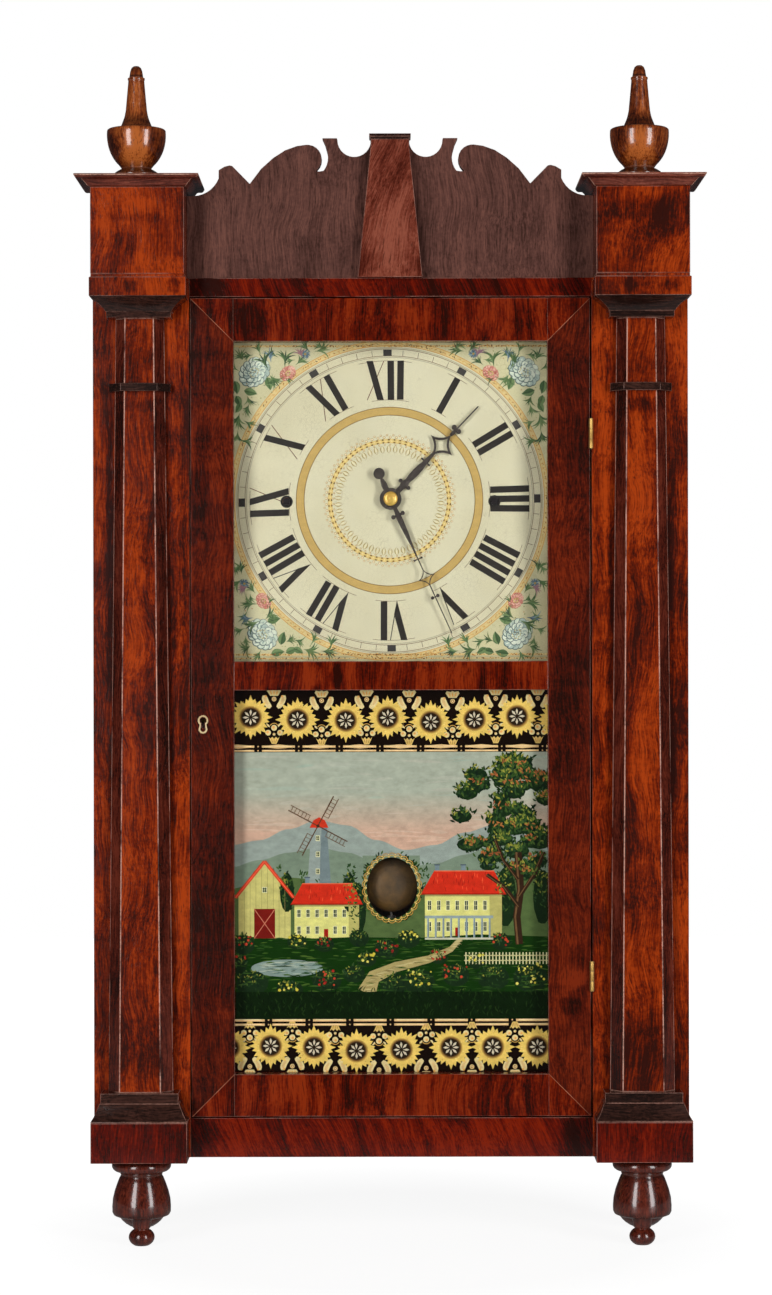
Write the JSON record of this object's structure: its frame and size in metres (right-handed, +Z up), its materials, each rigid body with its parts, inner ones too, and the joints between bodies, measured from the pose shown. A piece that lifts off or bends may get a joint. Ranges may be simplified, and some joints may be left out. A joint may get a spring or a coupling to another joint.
{
  "type": "pilaster and splat shelf clock",
  "caption": "Weight-driven shelf clock: cased movement behind a hinged glazed door, tapered pilasters, scroll-cut splat, turned finials and feet.",
  "frame": {"origin": "centre of the footprint of the bounding box, on the surface under the feet", "axes": "+Z up, -Y towards the viewer of the dial, +X to the viewer's right"},
  "size_m": [0.4982, 0.14, 0.9434],
  "materials": {
    "case_veneer": "satin shellac",
    "dark_wood": "satin shellac",
    "turned_wood": "gloss shellac",
    "pine": "bare, aged",
    "wheel_wood": "oiled",
    "plate_wood": "oiled",
    "dial_paint": "painted, aged",
    "clear_glass": "clear",
    "painted_glass": "painted on its back",
    "bone": "polished bone",
    "brass": "aged",
    "bell_metal": "aged",
    "steel": "aged",
    "iron": "dull",
    "hand_metal": "dull",
    "cord": "twisted flax"
  },
  "bodies": {
    "case": {"backboard": "pine", "case_sides": "dark_wood", "top_board": "pine", "bottom_board": "pine", "stiles": "case_veneer", "case_rails": "case_veneer", "base_blocks": "case_veneer", "base_mouldings": "dark_wood", "pilasters": "case_veneer", "capital_mouldings": "dark_wood", "capital_blocks": "case_veneer", "cornices": "dark_wood", "splat": "dark_wood", "splat_keystone": "case_veneer", "finials": "turned_wood", "feet": "dark_wood", "hinge_case_leaves": "brass", "inner_strips": "pine", "dial_board": "dial_paint", "front_plate": "plate_wood", "back_plate": "plate_wood", "plate_pillars": "plate_wood", "steel_posts": "steel", "pulley_brackets": "iron", "bell": "bell_metal", "cord_runs": "cord"},
    "door": {"door_stiles": "case_veneer", "door_rails": "case_veneer", "dial_glass": "clear_glass", "tablet_glass": "painted_glass", "escutcheon": "bone", "door_lock": "steel", "hinge_door_leaves": "brass"},
    "lock_bolt": {"lock_bolt": "brass"},
    "centre_arbor": {"minute_hand": "hand_metal", "centre_wheel": "wheel_wood"},
    "hour_pipe": {"hour_hand": "hand_metal", "hour_wheel": "wheel_wood"},
    "minute_wheel": {"minute_wheel": "wheel_wood"},
    "time_drum": {"time_drum": "wheel_wood"},
    "time_great_wheel": {"time_great_wheel": "wheel_wood"},
    "time_second_wheel": {"time_second_wheel": "wheel_wood"},
    "time_third_wheel": {"time_third_wheel": "wheel_wood"},
    "escape_wheel": {"escape_wheel": "wheel_wood"},
    "verge": {"verge": "steel"},
    "pendulum": {"pendulum_rod": "steel", "pendulum_bob": "brass"},
    "time_weight": {"time_weight": "iron", "time_cord_drop": "cord"},
    "time_pulley": {"time_pulley": "plate_wood"},
    "strike_drum": {"strike_drum": "wheel_wood"},
    "strike_great_wheel": {"strike_great_wheel": "wheel_wood"},
    "strike_pin_wheel": {"strike_pin_wheel": "wheel_wood"},
    "strike_warning_wheel": {"strike_warning_wheel": "wheel_wood"},
    "strike_fly": {"strike_fly": "wheel_wood"},
    "count_wheel": {"count_wheel": "wheel_wood"},
    "hammer": {"strike_hammer": "steel"},
    "strike_weight": {"strike_weight": "iron", "strike_cord_drop": "cord"},
    "strike_pulley": {"strike_pulley": "plate_wood"}
  },
  "joints": [
    {"name": "door_hinge", "type": "hinge", "parent": "case", "child": "door", "pos_m": [0.1603, -0.03, 0.43], "axis": [0, 0, 1], "range_deg": [0, 91]},
    {"name": "lock_bolt_slide", "type": "slide", "parent": "door", "child": "lock_bolt", "axis": [-1, 0, 0], "range_m": [0, 0.005]},
    {"name": "minute_hand_turn", "type": "hinge", "parent": "case", "child": "centre_arbor", "pos_m": [0, 0.03, 0.597], "axis": [0, 1, 0], "continuous": true},
    {"name": "hour_hand_turn", "type": "hinge", "parent": "case", "child": "hour_pipe", "pos_m": [0, 0.03, 0.597], "axis": [0, 1, 0], "continuous": true},
    {"name": "minute_wheel_turn", "type": "hinge", "parent": "case", "child": "minute_wheel", "pos_m": [0, 0.03, 0.621], "axis": [0, 1, 0], "continuous": true},
    {"name": "time_great_turn", "type": "hinge", "parent": "case", "child": "time_great_wheel", "pos_m": [0.084, 0.03, 0.595], "axis": [0, 1, 0], "continuous": true},
    {"name": "time_second_turn", "type": "hinge", "parent": "case", "child": "time_second_wheel", "pos_m": [0.03578, 0.03, 0.6037], "axis": [0, 1, 0], "continuous": true},
    {"name": "time_third_turn", "type": "hinge", "parent": "case", "child": "time_third_wheel", "pos_m": [-0.0162, 0.03, 0.56575], "axis": [0, 1, 0], "continuous": true},
    {"name": "escape_turn", "type": "hinge", "parent": "case", "child": "escape_wheel", "pos_m": [0, 0.03, 0.5336], "axis": [0, 1, 0], "continuous": true},
    {"name": "pendulum_swing", "type": "hinge", "parent": "case", "child": "pendulum", "pos_m": [0, 0.008, 0.5681], "axis": [0, 1, 0], "range_deg": [-3, 3]},
    {"name": "verge_rock", "type": "hinge", "parent": "case", "child": "verge", "pos_m": [0, 0.011, 0.5681], "axis": [0, 1, 0], "range_deg": [-3, 3]},
    {"name": "time_weight_drop", "type": "slide", "parent": "case", "child": "time_weight", "axis": [0, 0, 1], "range_m": [-0.44, 0], "deforming": ["time_cord_drop"]},
    {"name": "time_drum_turn", "type": "hinge", "parent": "case", "child": "time_drum", "pos_m": [0.084, 0.03, 0.595], "axis": [0, 1, 0], "range_deg": [-2, 1387.2]},
    {"name": "time_pulley_turn", "type": "hinge", "parent": "case", "child": "time_pulley", "pos_m": [0.1685, 0.03, 0.7347], "axis": [0, 1, 0], "range_deg": [-2, 2102.8]},
    {"name": "strike_pin_turn", "type": "hinge", "parent": "case", "child": "strike_pin_wheel", "pos_m": [-0.03578, 0.03, 0.6037], "axis": [0, 1, 0], "continuous": true},
    {"name": "strike_great_turn", "type": "hinge", "parent": "case", "child": "strike_great_wheel", "pos_m": [-0.084, 0.03, 0.595], "axis": [0, 1, 0], "continuous": true},
    {"name": "strike_warning_turn", "type": "hinge", "parent": "case", "child": "strike_warning_wheel", "pos_m": [-0.04453, 0.03, 0.62775], "axis": [0, 1, 0], "continuous": true},
    {"name": "strike_fly_turn", "type": "hinge", "parent": "case", "child": "strike_fly", "pos_m": [-0.03253, 0.03, 0.64854], "axis": [0, 1, 0], "continuous": true},
    {"name": "count_wheel_turn", "type": "hinge", "parent": "case", "child": "count_wheel", "pos_m": [-0.084, 0.03, 0.5615], "axis": [0, 1, 0], "continuous": true},
    {"name": "hammer_swing", "type": "hinge", "parent": "case", "child": "hammer", "pos_m": [-0.096, 0.03, 0.537], "axis": [0, 1, 0], "range_deg": [-1, 8]},
    {"name": "strike_weight_drop", "type": "slide", "parent": "case", "child": "strike_weight", "axis": [0, 0, 1], "range_m": [-0.44, 0], "deforming": ["strike_cord_drop"]},
    {"name": "strike_drum_turn", "type": "hinge", "parent": "case", "child": "strike_drum", "pos_m": [-0.084, 0.03, 0.595], "axis": [0, 1, 0], "range_deg": [-1387.2, 2]},
    {"name": "strike_pulley_turn", "type": "hinge", "parent": "case", "child": "strike_pulley", "pos_m": [-0.1685, 0.03, 0.7347], "axis": [0, 1, 0], "range_deg": [-2102.8, 2]}
  ],
  "couplings": [
    {"joint": "hour_hand_turn", "follows": "minute_hand_turn", "ratio": 0.083333},
    {"joint": "minute_wheel_turn", "follows": "minute_hand_turn", "ratio": -0.33333},
    {"joint": "time_second_turn", "follows": "minute_hand_turn", "ratio": -0.44444},
    {"joint": "time_great_turn", "follows": "minute_hand_turn", "ratio": 0.11111},
    {"joint": "time_third_turn", "follows": "minute_hand_turn", "ratio": -7.8},
    {"joint": "escape_turn", "follows": "minute_hand_turn", "ratio": 62.4},
    {"joint": "verge_rock", "follows": "pendulum_swing", "ratio": 1},
    {"joint": "time_pulley_turn", "follows": "time_weight_drop", "rad_per_m": -83.333},
    {"joint": "time_drum_turn", "follows": "time_weight_drop", "rad_per_m": -54.945},
    {"joint": "strike_pulley_turn", "follows": "strike_weight_drop", "rad_per_m": 83.333},
    {"joint": "strike_drum_turn", "follows": "strike_weight_drop", "rad_per_m": 54.945},
    {"joint": "strike_great_turn", "follows": "strike_pin_turn", "ratio": -0.25},
    {"joint": "strike_warning_turn", "follows": "strike_pin_turn", "ratio": -5.4},
    {"joint": "strike_fly_turn", "follows": "strike_pin_turn", "ratio": 27},
    {"joint": "count_wheel_turn", "follows": "strike_pin_turn", "ratio": 0.17949}
  ]
}
